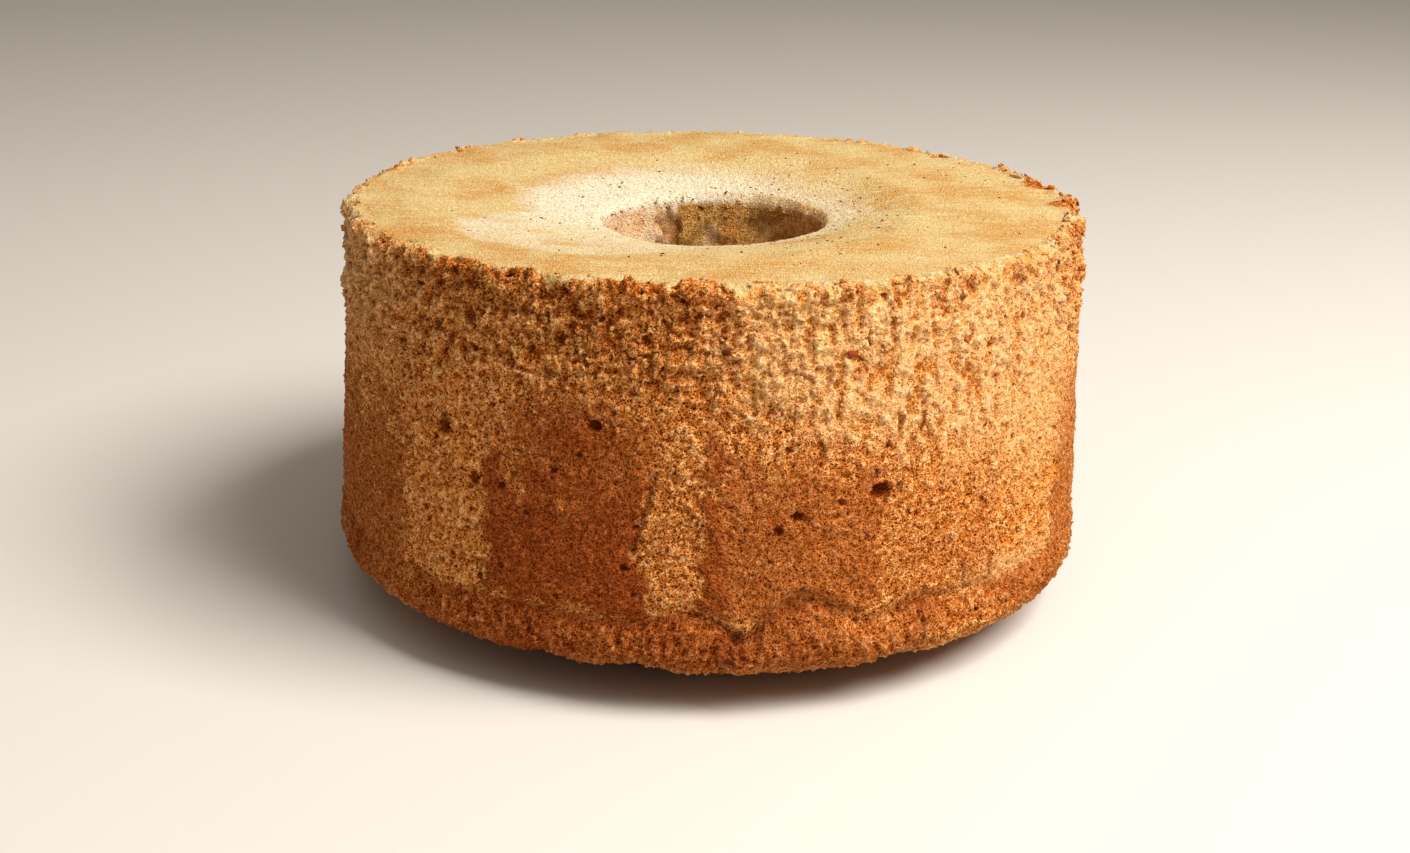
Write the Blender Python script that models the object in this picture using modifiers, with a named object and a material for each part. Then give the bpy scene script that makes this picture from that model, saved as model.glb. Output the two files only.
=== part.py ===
"""A tall ring-shaped sponge cake, turned out of its pan and standing on its risen side.

One solid. A ring profile is turned once round the axis, its points are then moved to give the uneven rim,
the shallow dish round the centre hole, the fold and roll near the foot and the rough crumb, and the larger
air holes are cut last. Metres, +Z up. The front of the cake faces -Y, and angles run from the front, positive
towards +X.
"""

import math

import bmesh
import bpy
from mathutils import Vector, noise

MM = 0.001
NEAR = 0.1 * MM  # two sizes closer than this count as equal

# Driving sizes
HEIGHT = 87.0 * MM
TOP_RADIUS = 81.3 * MM
WIDEST_RADIUS = 85.0 * MM
FOOT_RADIUS = 61.5 * MM  # where the side meets the table at the front and back
SHOULDER_HEIGHT = 14.0 * MM  # the side curves in to the foot below this
RIM_ROUNDING = 2.4 * MM
HOLE_MOUTH_RADIUS = 24.5 * MM
HOLE_FOOT_RADIUS = 18.5 * MM
HOLE_FOOT_ROUNDING = 4.0 * MM
MOUTH_ROUNDING = 1.2 * MM

# The turned grid
TURN_STEPS = 112
SIDE_ROWS = 16
FOLD_ROWS = 8
SHOULDER_ROWS = 4
FOOT_ROWS = 2
WALL_ROWS = 6
DISH_ROWS = 4
TOP_ROWS = 5
CORNER_ROWS = 2
FOLD_ZONE_TOP = 28.0 * MM  # rows are closer together below this, for the fold
FOOT_EDGE = 7.0 * MM  # how far in from its outer edge the foot can be lifted

# The dish round the hole, whose edge is a circle that isn't centred on the hole
DISH_RADIUS = 57.0 * MM
DISH_CENTRE = Vector((-11.0 * MM, -3.0 * MM))
DISH_DROP = 5.7 * MM
DISH_STEP = 0.7 * MM
DISH_STEP_WIDTH = 1.2 * MM

# The fold: a crease that waves up and down round the cake, with a soft roll under it
FOLD_LEVEL = 20.0 * MM
FOLD_WAVE = 2.6 * MM
FOLD_STILL = 7.0 * MM  # below this the waves don't move the side
CREASE_DEPTH = 1.5 * MM
CREASE_WIDTH = 1.7 * MM
ROLL_BULGE = 1.1 * MM
FOLD_LOOPS = (  # angle of the middle, half width in degrees, lift of the crease over FOLD_LEVEL
    (-3.0, 6.5, 2.2 * MM),
    (5.2, 3.4, -3.4 * MM),
    (13.5, 8.5, 4.8 * MM),
    (23.5, 5.0, -1.6 * MM),
    (32.0, 6.0, 1.2 * MM),
)

# Places where the foot is lifted off the table: angle of the middle, half width in degrees, lift
FOOT_GAPS = (
    (-24.0, 5.5, 2.6 * MM),
    (-10.0, 7.0, 3.0 * MM),
    (28.5, 6.5, 2.4 * MM),
    (96.0, 7.0, 1.6 * MM),
    (171.0, 9.0, 2.0 * MM),
    (-118.0, 6.0, 1.8 * MM),
)
FOOT_SPREAD = 7.0 * MM  # how much further out the side meets the table at the left and right

# Unevenness: how far the surface strays and how long its waves are
OUTLINE_STRAY, OUTLINE_WAVE = 0.7 * MM, 60.0 * MM
CRUMB_STRAY, CRUMB_WAVE = 0.9 * MM, 5.5 * MM
TOP_STRAY, TOP_WAVE = 0.3 * MM, 14.0 * MM
RIM_STRAY, RIM_WAVE = 1.8 * MM, 7.0 * MM
WALL_STRAY, WALL_WAVE = 1.6 * MM, 11.0 * MM
WALL_LUMPS = (  # angle of the middle, half width in degrees, height, half height, how far it stands into the hole
    (-166.0, 26.0, 64.0 * MM, 17.0 * MM, 3.0 * MM),
    (158.0, 18.0, 71.0 * MM, 9.0 * MM, 1.4 * MM),
)

# Air holes in the side: angle, height, width, height of the hole, depth
AIR_HOLES = (
    (23.8, 45.8 * MM, 4.8 * MM, 2.6 * MM, 2.4 * MM),
    (-39.9, 53.2 * MM, 3.4 * MM, 3.0 * MM, 1.8 * MM),
    (-15.3, 58.9 * MM, 2.4 * MM, 2.2 * MM, 1.5 * MM),
    (-34.0, 43.9 * MM, 2.2 * MM, 2.4 * MM, 1.5 * MM),
    (11.9, 42.3 * MM, 2.4 * MM, 2.0 * MM, 1.5 * MM),
)

CRUST_COLOUR = (0.52, 0.24, 0.065, 1.0)
CRUST_ROUGHNESS = 0.85


def smooth(t):
    """0 below 0, 1 above 1, and a soft step between."""
    t = min(max(t, 0.0), 1.0)
    return t * t * (3.0 - 2.0 * t)


def bump(offset, half_width):
    """1 at no offset, falling softly to 0 at half_width."""
    return smooth(1.0 - abs(offset) / half_width)


def turned_by(angle, middle):
    """The signed difference of two angles in degrees, between -180 and 180."""
    return (angle - middle + 180.0) % 360.0 - 180.0


def evenly(start, end, rows):
    """rows values from start to just before end."""
    return [start + (end - start) * row / rows for row in range(rows)]


def corner(centre, radius, start, end, rows):
    """Points of an arc about centre, angles in degrees from the profile's outward axis, without the last one."""
    turns = [math.radians(turn) for turn in evenly(start, end, rows)]
    return [(centre[0] + radius * math.cos(turn), centre[1] + radius * math.sin(turn)) for turn in turns]


def side_radius(z):
    """The side's radius at a height, before any unevenness."""
    if z < SHOULDER_HEIGHT:
        rise = math.sin(z / SHOULDER_HEIGHT * math.pi / 2)
        return FOOT_RADIUS + (WIDEST_RADIUS - FOOT_RADIUS) * rise
    share = (z - SHOULDER_HEIGHT) / (HEIGHT - SHOULDER_HEIGHT)
    return WIDEST_RADIUS + (TOP_RADIUS - WIDEST_RADIUS) * share


def wall_radius(z):
    """The centre hole's radius at a height, before any unevenness."""
    return HOLE_FOOT_RADIUS + (HOLE_MOUTH_RADIUS - HOLE_FOOT_RADIUS) * z / (HEIGHT - DISH_DROP)


def ring_profile():
    """(radius, height) points of the section: down the side, in under the foot, up the hole and out over the top."""
    rim_centre = (side_radius(HEIGHT) - RIM_ROUNDING, HEIGHT - RIM_ROUNDING)
    points = corner(rim_centre, RIM_ROUNDING, 90.0, 0.0, CORNER_ROWS)
    for z in evenly(HEIGHT - RIM_ROUNDING, FOLD_ZONE_TOP, SIDE_ROWS):
        points.append((side_radius(z), z))
    for z in evenly(FOLD_ZONE_TOP, SHOULDER_HEIGHT * 0.8, FOLD_ROWS):
        points.append((side_radius(z), z))
    for turn in evenly(0.0, 90.0, SHOULDER_ROWS):
        z = SHOULDER_HEIGHT * 0.8 * (1.0 - math.sin(math.radians(turn)))
        points.append((side_radius(z), z))
    foot_inside = HOLE_FOOT_RADIUS + HOLE_FOOT_ROUNDING
    points.append((FOOT_RADIUS, 0.0))
    for radius in evenly(FOOT_RADIUS - FOOT_EDGE, foot_inside, FOOT_ROWS):
        points.append((radius, 0.0))
    points += corner((foot_inside, HOLE_FOOT_ROUNDING), HOLE_FOOT_ROUNDING, 270.0, 180.0, CORNER_ROWS)
    for z in evenly(HOLE_FOOT_ROUNDING, HEIGHT - MOUTH_ROUNDING, WALL_ROWS):
        points.append((wall_radius(z), z))
    mouth_centre = (wall_radius(HEIGHT) + MOUTH_ROUNDING, HEIGHT - MOUTH_ROUNDING)
    points += corner(mouth_centre, MOUTH_ROUNDING, 180.0, 90.0, CORNER_ROWS)
    for radius in evenly(mouth_centre[0], DISH_RADIUS - DISH_STEP_WIDTH, DISH_ROWS):
        points.append((radius, HEIGHT))
    points.append((DISH_RADIUS - DISH_STEP_WIDTH, HEIGHT))
    for radius in evenly(DISH_RADIUS, rim_centre[0], TOP_ROWS):
        points.append((radius, HEIGHT))
    return points


def turned_ring(name):
    """The ring profile turned once round Z by a Screw modifier, as a mesh object of its own."""
    points = ring_profile()
    corners = [(radius, 0.0, z) for radius, z in points]
    edges = [(index, (index + 1) % len(points)) for index in range(len(points))]
    mesh = bpy.data.meshes.new(name + "_profile")
    mesh.from_pydata(corners, edges, [])
    profile = bpy.data.objects.new(name + "_profile", mesh)
    bpy.context.scene.collection.objects.link(profile)
    screw = profile.modifiers.new("turn", "SCREW")
    screw.axis = "Z"
    screw.angle = math.tau
    screw.steps = TURN_STEPS
    screw.render_steps = TURN_STEPS
    screw.use_merge_vertices = True
    screw.merge_threshold = 0.00001
    bpy.context.view_layer.update()
    turned = bpy.data.meshes.new_from_object(profile.evaluated_get(bpy.context.evaluated_depsgraph_get()))
    bpy.data.objects.remove(profile)
    turned.name = name
    return bpy.data.objects.new(name, turned)


def stray(place, wave, seed):
    """Smooth noise between about -1 and 1, whose waves are about one wave long."""
    return noise.noise(place / wave + Vector((seed, seed * 0.7, -seed)))


def fold_level(angle, place):
    """The crease's height at an angle."""
    ring = Vector((place.x, place.y, 0.0))
    beside_loops = 1.0 - 0.8 * bump(turned_by(angle, 14.0), 60.0)
    level = FOLD_LEVEL + FOLD_WAVE * beside_loops * stray(ring, OUTLINE_WAVE * 0.5, 3.0)
    for middle, half_width, lift in FOLD_LOOPS:
        level += lift * bump(turned_by(angle, middle), half_width)
    return level


def dish_edge(angle):
    """How far from the axis the dish's edge is at an angle, where a ray from the axis leaves its circle."""
    turn = math.radians(angle)
    ray = Vector((math.sin(turn), -math.cos(turn)))
    along = ray.dot(DISH_CENTRE)
    return along + math.sqrt(along * along - DISH_CENTRE.length_squared + DISH_RADIUS * DISH_RADIUS)


def dish_drop(angle, radius):
    """How far the top lies under HEIGHT: a step at the dish's edge at the front left, and a slope to the hole."""
    edge = dish_edge(angle)
    inward = edge - radius
    if inward <= 0.0:
        return 0.0
    step = DISH_STEP * bump(turned_by(angle, -30.0), 70.0) * min(inward / DISH_STEP_WIDTH, 1.0)
    slope = min(inward / (edge - HOLE_MOUTH_RADIUS), 1.0)
    return step + (DISH_DROP - DISH_STEP) * slope ** 1.15


def along_top(angle, radius):
    """The radius to which a turned row moves, so that the row at DISH_RADIUS follows the dish's real edge."""
    edge = dish_edge(angle)
    inner = HOLE_MOUTH_RADIUS + MOUTH_ROUNDING
    outer = TOP_RADIUS - RIM_ROUNDING
    if radius < inner or radius > outer:
        return radius
    if radius < DISH_RADIUS:
        return inner + (radius - inner) * (edge - inner) / (DISH_RADIUS - inner)
    return edge + (radius - DISH_RADIUS) * (outer - edge) / (outer - DISH_RADIUS)


def uneven_top(place, angle, radius):
    """A point of the top with the dish, the scraped unevenness and the ragged rim."""
    moved = along_top(angle, radius)
    drop = dish_drop(angle, moved)
    wave = TOP_STRAY * stray(place, TOP_WAVE, 11.0)
    near_rim = smooth((radius - TOP_RADIUS * 0.88) / (TOP_RADIUS * 0.1))
    ragged = RIM_STRAY * stray(place, RIM_WAVE, 17.0) * near_rim
    share = moved / radius
    return Vector((place.x * share, place.y * share, place.z - drop + wave + ragged * 0.4))


def uneven_side(place, angle, radius):
    """A point of the side with the fold, the roll, the gaps under the foot and the rough crumb."""
    outward = Vector((place.x, place.y, 0.0)).normalized()
    crease = fold_level(angle, place)
    if place.z < FOLD_LEVEL:
        z = place.z + (crease - FOLD_LEVEL) * smooth((place.z - FOLD_STILL) / (FOLD_LEVEL - FOLD_STILL))
    else:
        z = crease + (place.z - FOLD_LEVEL) * (HEIGHT - crease) / (HEIGHT - FOLD_LEVEL)
    foot_share = 1.0 - math.sin(min(place.z / SHOULDER_HEIGHT, 1.0) * math.pi / 2)
    move = FOOT_SPREAD * math.sin(math.radians(angle)) ** 2 * foot_share
    shown = 0.35 + 0.65 * bump(turned_by(angle, 15.0), 60.0)
    move -= CREASE_DEPTH * shown * bump(z - crease, CREASE_WIDTH * 2.0)
    move += ROLL_BULGE * shown * bump(z - crease * 0.5, crease * 0.5)
    clear_of_foot = smooth(place.z / (SHOULDER_HEIGHT * 0.6))
    move += OUTLINE_STRAY * stray(place, OUTLINE_WAVE, 23.0) * clear_of_foot
    move += CRUMB_STRAY * stray(place, CRUMB_WAVE, 29.0) * clear_of_foot
    near_rim = smooth((place.z - HEIGHT * 0.88) / (HEIGHT * 0.1))
    move += RIM_STRAY * stray(place, RIM_WAVE, 31.0) * near_rim
    for middle, half_width, lift in FOOT_GAPS:
        z += lift * bump(turned_by(angle, middle), half_width) * max(1.0 - place.z / SHOULDER_HEIGHT, 0.0)
    moved = outward * (radius + move)
    return Vector((moved.x, moved.y, z))


def uneven_wall(place, angle, radius):
    """A point of the hole's wall, which stops at the dish's bottom and is lumpy."""
    outward = Vector((place.x, place.y, 0.0)).normalized()
    inside = bump(place.z - HEIGHT / 2, HEIGHT / 2)
    move = WALL_STRAY * stray(place, WALL_WAVE, 41.0) * smooth(inside * 3.0)
    for middle, half_width, height, half_height, depth in WALL_LUMPS:
        move -= depth * bump(turned_by(angle, middle), half_width) * bump(place.z - height, half_height)
    moved = outward * (radius + move)
    z = place.z * (1.0 - DISH_DROP / HEIGHT)
    return Vector((moved.x, moved.y, z))


def uneven(place):
    """Where a point of the turned ring belongs on the real cake."""
    angle = math.degrees(math.atan2(place.x, -place.y))
    radius = math.hypot(place.x, place.y)
    if place.z > HEIGHT - NEAR and radius > HOLE_MOUTH_RADIUS + MOUTH_ROUNDING - NEAR:
        return uneven_top(place, angle, radius)
    if radius > FOOT_RADIUS - NEAR:
        return uneven_side(place, angle, radius)
    if radius < HOLE_FOOT_RADIUS + HOLE_FOOT_ROUNDING - NEAR or place.z > HOLE_FOOT_ROUNDING:
        return uneven_wall(place, angle, radius)
    return place


def air_hole_cutters(collection):
    """A squashed ball for each air hole, sunk halfway into the side."""
    for index, (angle, height, wide, tall, depth) in enumerate(AIR_HOLES):
        turn = math.radians(angle)
        radius = side_radius(height)
        ball = bpy.data.meshes.new(f"air_hole_{index}")
        shape = bmesh.new()
        bmesh.ops.create_icosphere(shape, subdivisions=2, radius=1.0)
        bmesh.ops.scale(shape, vec=(wide / 2, depth, tall / 2), verts=shape.verts)
        shape.to_mesh(ball)
        shape.free()
        cutter = bpy.data.objects.new(ball.name, ball)
        cutter.location = (radius * math.sin(turn), -radius * math.cos(turn), height)
        cutter.rotation_euler = (0.0, 0.0, turn)
        cutter.hide_render = True
        cutter.display_type = "WIRE"
        collection.objects.link(cutter)


def crust_material():
    """Browned sponge crust."""
    material = bpy.data.materials.new("browned_sponge")
    material.use_nodes = True
    shader = material.node_tree.nodes["Principled BSDF"]
    shader.inputs["Base Color"].default_value = CRUST_COLOUR
    shader.inputs["Roughness"].default_value = CRUST_ROUGHNESS
    shader.inputs["Metallic"].default_value = 0.0
    return material


def stand_on_origin(mesh):
    """Moves the mesh so that its box stands centred on the origin."""
    xs = [vertex.co.x for vertex in mesh.vertices]
    ys = [vertex.co.y for vertex in mesh.vertices]
    lowest = min(vertex.co.z for vertex in mesh.vertices)
    middle = Vector(((min(xs) + max(xs)) / 2, (min(ys) + max(ys)) / 2, lowest))
    for vertex in mesh.vertices:
        vertex.co -= middle


def build_cake():
    """The whole cake, as one solid named cake."""
    parts = bpy.data.collections.new("chiffon_cake")
    cutters = bpy.data.collections.new("cutters")
    bpy.context.scene.collection.children.link(parts)
    bpy.context.scene.collection.children.link(cutters)
    cake = turned_ring("cake")
    for vertex in cake.data.vertices:
        vertex.co = uneven(vertex.co.copy())
    stand_on_origin(cake.data)
    parts.objects.link(cake)
    air_hole_cutters(cutters)
    holes = cake.modifiers.new("air_holes", "BOOLEAN")
    holes.operation = "DIFFERENCE"
    holes.operand_type = "COLLECTION"
    holes.collection = cutters
    holes.solver = "EXACT"
    cake.data.materials.append(crust_material())
    cake.data.shade_smooth()
    return cake


def main():
    """Empties the scene and builds the cake."""
    for thing in list(bpy.data.objects):
        bpy.data.objects.remove(thing)
    build_cake()


main()
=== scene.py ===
"""The looks of a tall ring-shaped chiffon cake: crumb, browned skin, scraped top, standing crumbs, and a plain
stage. Laid out as an add-on and run as a script.

Metres, +Z up, front towards -Y. Angles are in degrees from the front, positive towards +X, and heights are over
the foot. The tables of places on the cake, the noise and what Surface measures are in degrees and millimetres.
"""

import math
from functools import cached_property, partial

import bpy
import numpy as np
from mathutils import Matrix, Vector, noise


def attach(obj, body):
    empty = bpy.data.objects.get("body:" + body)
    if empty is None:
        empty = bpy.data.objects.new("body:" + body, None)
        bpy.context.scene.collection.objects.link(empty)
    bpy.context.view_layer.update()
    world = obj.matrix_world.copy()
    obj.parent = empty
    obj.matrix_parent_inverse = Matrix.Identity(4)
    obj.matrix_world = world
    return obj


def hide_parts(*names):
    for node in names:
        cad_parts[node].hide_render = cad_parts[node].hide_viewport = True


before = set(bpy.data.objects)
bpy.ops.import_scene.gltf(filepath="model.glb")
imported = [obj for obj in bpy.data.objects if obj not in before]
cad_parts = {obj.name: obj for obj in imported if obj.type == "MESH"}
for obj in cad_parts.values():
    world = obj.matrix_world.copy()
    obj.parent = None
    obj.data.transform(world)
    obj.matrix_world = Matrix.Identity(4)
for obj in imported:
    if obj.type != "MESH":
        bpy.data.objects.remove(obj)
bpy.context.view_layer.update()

bl_info = {
    "name": "Chiffon cake",
    "version": (1, 0, 0),
    "blender": (4, 5, 0),
    "location": "3D View > Sidebar > Cake",
    "description": "Models and finishes a ring-shaped chiffon cake with its crumb, skin and loose crumbs",
    "category": "Add Mesh",
}

MM = 0.001

# Zones of the section, in the order in which its rows run
SIDE, UNDERSIDE, HOLE, TOP = range(4)

# Small forms that go with the sizes in CakeForm
RIM_ROUNDING = 2.4 * MM
MOUTH_ROUNDING = 1.2 * MM
HOLE_FOOT_ROUNDING = 4 * MM
FOOT_EDGE = 7 * MM
FOOT_SPREAD = 7 * MM
SHOULDER_HEIGHT = 14 * MM
DISH_CENTRE = (-11 * MM, -3 * MM)
DISH_STEP = 0.7 * MM
DISH_STEP_WIDTH = 1.2 * MM
FOLD_LEVEL = 20 * MM
FOLD_WAVE = 2.6 * MM
FOLD_STILL = 7 * MM
CREASE_DEPTH = 1.5 * MM
CREASE_WIDTH = 1.7 * MM
ROLL_BULGE = 1.1 * MM
LIP_DEPTH_ON_TOP = 5 * MM
LIP_DEPTH_IN_HOLE = 9 * MM
DEGREE = math.radians(84)  # millimetres round the side in one degree, as it is about 84 mm from the axis

FOLD_LOOPS = (  # angle of the middle, half width in degrees, lift of the crease over FOLD_LEVEL
    (-3, 6.5, 2.2),
    (5.2, 3.4, -3.4),
    (13.5, 8.5, 4.8),
    (23.5, 5, -1.6),
    (32, 6, 1.2),
)
FOOT_GAPS = (  # angle of the middle, half width in degrees, lift off the table
    (-24, 5.5, 2.6),
    (-10, 7, 3),
    (28.5, 6.5, 2.4),
    (96, 7, 1.6),
    (171, 9, 2),
    (-118, 6, 1.8),
)
WALL_LUMPS = (  # angle of the middle, half width in degrees, height, half height, how far it stands out
    (-166, 26, 64, 17, 3),
    (158, 18, 71, 9, 1.4),
)
AIR_HOLES = (  # angle, height, width, height of the hole, depth
    (23.8, 45.8, 5.4, 3, 2.8),
    (-39.9, 53.2, 3.4, 3, 1.8),
    (-15.3, 58.9, 2.4, 2.2, 1.5),
    (-34, 43.9, 2.2, 2.4, 1.5),
    (11.9, 42.3, 2.4, 2, 1.5),
    (9.5, 39.5, 2.2, 2, 1.4),
    (-34.5, 70.5, 1.6, 1.8, 1.2),
    (-40, 68, 1.8, 1.5, 1.2),
    (-31, 60, 1.4, 1.6, 1),
    (-29, 44, 1.6, 1.4, 1.1),
    (-38, 26.5, 1.6, 1.4, 1),
    (-11, 31, 1.6, 1.4, 1),
    (18, 44.5, 1.4, 1.4, 1),
    (10.7, 55.5, 1.4, 1.3, 1),
)
GROOVES = (  # cracks and grooves of the side: points of angle and height, half width, depth
    (((-7, 50), (-8, 45), (-9.3, 38), (-9.8, 34)), 0.9, 0.8),
    (((38.2, 26.5), (38.7, 24.4), (38.4, 22.5), (39, 20.8)), 0.7, 1),
    (((43.4, 25.2), (43.6, 23.5), (43.3, 21.8)), 0.6, 0.8),
    (((32.2, 60.5), (32.5, 57.5)), 0.6, 0.7),
    (((14, 22), (16.2, 18.5), (18, 12.5)), 0.7, 0.5),
    (((4.6, 17), (3.4, 13.5), (2.6, 9.5)), 1.8, 1.1),
    (((30.6, 18.5), (31.2, 15.5), (30.4, 11)), 0.9, 1),
)
RED_FLECKS = (  # angle, height, length
    (19, 74, 2.6),
    (21.5, 70.5, 1.3),
    (6, 63, 1.2),
    (9.5, 63, 1.3),
    (34, 79, 1.4),
    (38, 73, 1.6),
    (43.5, 65, 1.5),
    (48.5, 50.5, 1.4),
    (55.5, 47.5, 1.3),
    (42, 55, 1.2),
    (118, 71, 1.8),
    (151, 66, 1.4),
    (-128, 74, 1.6),
    (-165, 69, 1.5),
)
SKIN_PATCHES = (  # where the pan left its skin: left and right edge, foot and head, softness, strength
    (-112, -47.5, 8, 55, 6, 0.66),
    (-32, -8.3, 21, 52, 3.5, 1),
    (-0.4, 24.5, 21, 57, 2, 0.7),
    (-0.8, 2.6, 23, 56, 3, 0.95),
    (24, 44.5, 22, 48, 3.5, 0.5),
    (62, 84, 14, 62, 3, 0.6),
    (101, 134, 18, 56, 4, 0.85),
    (139, 168, 21, 50, 3, 0.75),
    (-174, -151, 20, 54, 4, 0.7),
    (-144, -119, 21, 49, 3, 0.85),
)
CREAM_REACH = (  # cream crumb of the top: angle, how far it reaches from the axis, softness, strength
    (-180, 46, 16, 0.9),
    (-140, 50, 15, 1),
    (-105, 49, 10, 1),
    (-80, 44, 7, 0.9),
    (-68, 62, 5, 0.75),
    (-50, 66, 1.5, 0.5),
    (-25, 57, 2, 0.4),
    (-5, 38, 9, 0.35),
    (30, 35, 10, 0.4),
    (90, 40, 12, 0.5),
    (140, 42, 16, 0.6),
    (180, 46, 16, 0.9),
)
# Spots in the cream where the skin has stayed: place across and towards the back, radius
GOLDEN_SPOTS = ((-32, -39, 4.5), (-35.5, -27, 3), (-50, -15, 8), (-22, -46, 3))

# Shapes of what stands off the surface, about 1 across: length, width, thickness, bend in degrees, dents
CRUMB_SHAPES = (
    (1.6, 0.7, 0.6, 70, 0.3),
    (1.2, 0.8, 0.7, -40, 0.4),
    (2.1, 0.6, 0.55, 110, 0.25),
    (1.3, 0.7, 0.6, 30, 0.6),
)
FLAKE_SHAPES = ((1.5, 0.9, 0.32, 90, 0.5), (1.3, 1, 0.3, -60, 0.6))
SPECK_SHAPES = ((1.5, 0.8, 0.35, 15, 0.3), (1, 0.9, 0.4, 0, 0.4))
LONGEST_SPECK = 1.5
CRUMBS = {  # how many, smallest and largest, lean from upright, relief that sets their painted highlight, least share of crust
    "side_crumbs": (2600, 0.7, 2, 60, 0.12, 0),
    "side_flakes": (200, 1.2, 2.8, 50, 0.3, 0.7),
    "rim_crumbs": (520, 0.6, 1.5, 180, 0.15, 0.7),
    "lip_crumbs": (150, 0.5, 1.3, 180, 0.12, 0.7),
}
SPECK_COUNT = 330
CRUMB_SINK = 0.1
SPECK_SINK = -0.05

# How far apart the rows and columns of the surface are, and how finely a point group is stepped
SIDE_ROW = 0.42 * MM
TOP_ROW = 0.75 * MM
HOLE_ROW = 1.2 * MM
UNDERSIDE_ROW = 3.6 * MM
COLUMNS = 1080
WEIGHT_STEPS = 50

BODY_PIECES = ("side_front", "side_right", "side_left", "top", "hole_and_underside")
MARKS = ("relief", "pore", "skin", "rust", "pale", "wall", "pits", "golden", "cream", "crease")

# Camera, from the outline of the cake in a frame of 1410 by 853
FRAME_WIDTH = 1410
FOCAL_PIXELS = 1900
SENSOR_WIDTH = 36
CAMERA_PLACE = (-0.7 * MM, -422 * MM, 178 * MM)
CAMERA_DOWN = 19.1
CAMERA_ROLL = 1.25

# Stage, whose floor lies a little under the foot so that the two don't share a plane
FLOOR_WIDTH = 6
FLOOR_LEVEL = -0.4 * MM
FLOOR_COLOUR = "#D4D2CF"
SKY_COLOUR = "#FFEFD6"
SKY_STRENGTH = 0.26
LIGHT_DISTANCE = 1.1
LIGHT_AIM = (0, 0, 0.04)
LIGHTS = (  # name, angle from the front, elevation, width in metres, power, colour
    ("key_light", 62, 52, 0.6, 20.8, "#FFF8EE"),
    ("front_light", 10, 60, 0.9, 1.6, "#FFFDF8"),
)

# Widths of the sponge's curls, blotches and scratches, and how far its grain seems to stand out
CURL_WIDTH = 0.9 * MM
BLOTCH_WIDTH = 17 * MM
SCRATCH_WIDTH = 0.9 * MM
GRAIN_HEIGHT = 0.45 * MM

# Finishes of the side, with the colours of their ridges, lighter crumb with a painted highlight, of the ground
# between, and of their pores, darker with painted shade
TONES = {"light": "Ridges", "mid": "Ground", "deep": "Pores"}
FINISHES = {
    "crumb": ("bare crumb", "#FBD294", "#DF8530", "#6E2601"),
    "skin": ("browned skin", "#CB713C", "#904512", "#5F1900"),
    "rust": ("orange-brown crust", "#FCBC6C", "#B1560D", "#6A2001"),
    "pale": ("torn pale crumb", "#FFD0A4", "#E5AF6B", "#C4660E"),
    "wall": ("wall of the hole", "#D0AC6C", "#A48040", "#76501A"),
    "pits": ("pits where crumb was pulled off", "#FFDFAE", "#F0B96C", "#DE8624"),
}


def linear(code):
    """A sRGB hex colour as linear red, green and blue."""
    parts = [int(code[start : start + 2], 16) / 255 for start in (1, 3, 5)]
    return tuple(part / 12.92 if part <= 0.04045 else ((part + 0.055) / 1.055) ** 2.4 for part in parts)


def size_property(name, millimetres, description):
    """A length that a user may change."""
    return bpy.props.FloatProperty(
        name=name, description=description, default=millimetres * MM, unit="LENGTH", subtype="DISTANCE"
    )


def colour_property(name, code, description):
    """A colour that a user may change, from its sRGB hex code."""
    return bpy.props.FloatVectorProperty(
        name=name, description=description, default=linear(code), size=3, min=0, max=1, subtype="COLOR"
    )


class CakeForm(bpy.types.PropertyGroup):
    """The cake's main sizes."""

    height: size_property("Height", 87, "Height of the rim over the foot")
    top_radius: size_property("Top radius", 81.3, "Radius at the rim")
    widest_radius: size_property("Widest radius", 85, "Radius low down, where the side is widest")
    foot_radius: size_property("Foot radius", 61.5, "Radius at which the side meets the table at the front")
    mouth_radius: size_property("Hole mouth radius", 24.5, "Radius of the centre hole at its top")
    hole_foot_radius: size_property("Hole foot radius", 18.5, "Radius of the centre hole at its bottom")
    dish_radius: size_property("Dish radius", 57, "Radius of the shallow dish round the hole")
    dish_drop: size_property("Dish drop", 5.7, "How far the dish falls towards the hole")
    crumb_size: size_property("Crumb cell", 0.95, "Width of a cell of the crumb")


class CakeColours(bpy.types.PropertyGroup):
    """The cake's colours. Those of FINISHES are added below, one for each finish and tone."""

    golden: colour_property("Golden top", "#D4BC80", "Thin baked skin of the top")
    # Honey is also painted shade in the top's pores, and cream a painted highlight on its ridges
    honey: colour_property("Honey blotches", "#C69245", "Deeper baked blotches of the top")
    cream: colour_property("Cream", "#E6DFC8", "Pale crumb where the top's skin has come off")
    # The crease colour is partly darker skin and partly painted shade: in the fold, in the V below it and in
    # the gaps of the hole's wall
    crease: colour_property("Crease", "#763018", "Dark skin along the fold")
    speck: colour_property("Specks", "#4A3320", "Dark specks")
    fleck: colour_property("Flecks", "#8E3C22", "Reddish caramelised flecks")


for finish, (words, *codes) in FINISHES.items():
    for (tone, part), code in zip(TONES.items(), codes):
        colour = colour_property(f"{part}: {words}", code, f"Colour of the {part.lower()} of the {words}")
        CakeColours.__annotations__[f"{finish}_{tone}"] = colour


def smooth(t):
    """0 below 0, 1 above 1, and a soft step between, for arrays too."""
    t = np.clip(t, 0, 1)
    return t * t * (3 - 2 * t)


def bump(offset, half_width):
    """1 at no offset, falling softly to 0 at half_width."""
    return smooth(1 - np.abs(offset) / half_width)


def turned_by(angle, middle):
    """The signed difference of two angles in degrees, between -180 and 180."""
    return (angle - middle + 180) % 360 - 180


def facing(angle, middle, half_width):
    """1 at an angle, falling softly to 0 at half_width from it."""
    return bump(turned_by(angle, middle), half_width)


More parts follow.
